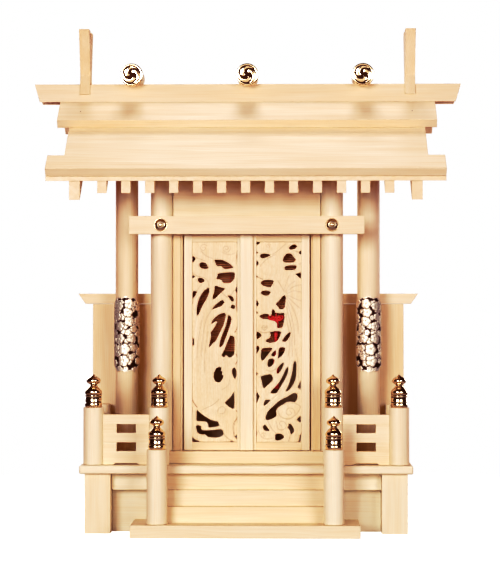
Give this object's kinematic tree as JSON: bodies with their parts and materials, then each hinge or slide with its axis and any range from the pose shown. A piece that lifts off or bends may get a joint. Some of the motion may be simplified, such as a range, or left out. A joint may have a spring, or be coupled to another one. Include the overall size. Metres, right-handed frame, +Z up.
{
  "type": "household shrine",
  "caption": "Household shrine in pale cypress: gabled roof with crossed finials, carved openwork doors that open, veranda with railings and stairs, gilt fittings.",
  "frame": {"origin": "on the ground under the middle of the whole shrine", "axes": "+Z up; the doors and stairs face -Y; the ridge runs along X"},
  "size_m": [0.4632, 0.1724, 0.5387],
  "materials": {
    "pale_cypress": "planed and bare",
    "gilt_brass": "gilt and polished",
    "reed_blind": "split reed, matte"
  },
  "bodies": {
    "shrine": {"base_front_board": "pale_cypress", "base_rear_board": "pale_cypress", "base_side_left": "pale_cypress", "base_side_right": "pale_cypress", "beam_stud_left": "gilt_brass", "beam_stud_right": "gilt_brass", "chamber_floor": "pale_cypress", "chigi_left": "pale_cypress", "chigi_right": "pale_cypress", "corner_cap_left": "gilt_brass", "corner_cap_right": "gilt_brass", "corner_post_left": "pale_cypress", "corner_post_right": "pale_cypress", "deck": "pale_cypress", "front_beam": "pale_cypress", "front_column_left": "pale_cypress", "front_column_right": "pale_cypress", "front_railing_left": "pale_cypress", "front_railing_right": "pale_cypress", "front_wall": "pale_cypress", "katsuogi_crest_left": "gilt_brass", "katsuogi_crest_middle": "gilt_brass", "katsuogi_crest_right": "gilt_brass", "katsuogi_left": "pale_cypress", "katsuogi_middle": "pale_cypress", "katsuogi_right": "pale_cypress", "pillar_sleeve_left": "gilt_brass", "pillar_sleeve_right": "gilt_brass", "rafters": "pale_cypress", "rear_wall": "pale_cypress", "reed_blind": "reed_blind", "ridge_board_front": "pale_cypress", "ridge_board_rear": "pale_cypress", "ridge_cap": "pale_cypress", "ridge_pillar_left": "pale_cypress", "ridge_pillar_right": "pale_cypress", "roof_board_front": "pale_cypress", "roof_board_rear": "pale_cypress", "side_railing_left": "pale_cypress", "side_railing_right": "pale_cypress", "side_wall_left": "pale_cypress", "side_wall_right": "pale_cypress", "stair_foot_cap_left": "gilt_brass", "stair_foot_cap_right": "gilt_brass", "stair_foot_post_left": "pale_cypress", "stair_foot_post_right": "pale_cypress", "stair_top_cap_left": "gilt_brass", "stair_top_cap_right": "gilt_brass", "stair_top_post_left": "pale_cypress", "stair_top_post_right": "pale_cypress", "stairs": "pale_cypress", "wing_cap_left": "pale_cypress", "wing_cap_right": "pale_cypress", "wing_screen_left": "pale_cypress", "wing_screen_right": "pale_cypress"},
    "left_door": {"door_frame_left": "pale_cypress", "door_openwork_left": "pale_cypress", "door_meeting_bar": "pale_cypress"},
    "right_door": {"door_frame_right": "pale_cypress", "door_openwork_right": "pale_cypress"}
  },
  "joints": [
    {"name": "left_door_hinge", "type": "hinge", "parent": "shrine", "child": "left_door", "pos_m": [-0.0637, 0.00025, 0.0849], "axis": [0, 0, -1], "range_deg": [0, 95]},
    {"name": "right_door_hinge", "type": "hinge", "parent": "shrine", "child": "right_door", "pos_m": [0.0637, 0.00025, 0.0849], "axis": [0, 0, 1], "range_deg": [0, 95]}
  ],
  "couplings": [
    {"joint": "right_door_hinge", "follows": "left_door_hinge", "ratio": 1}
  ]
}
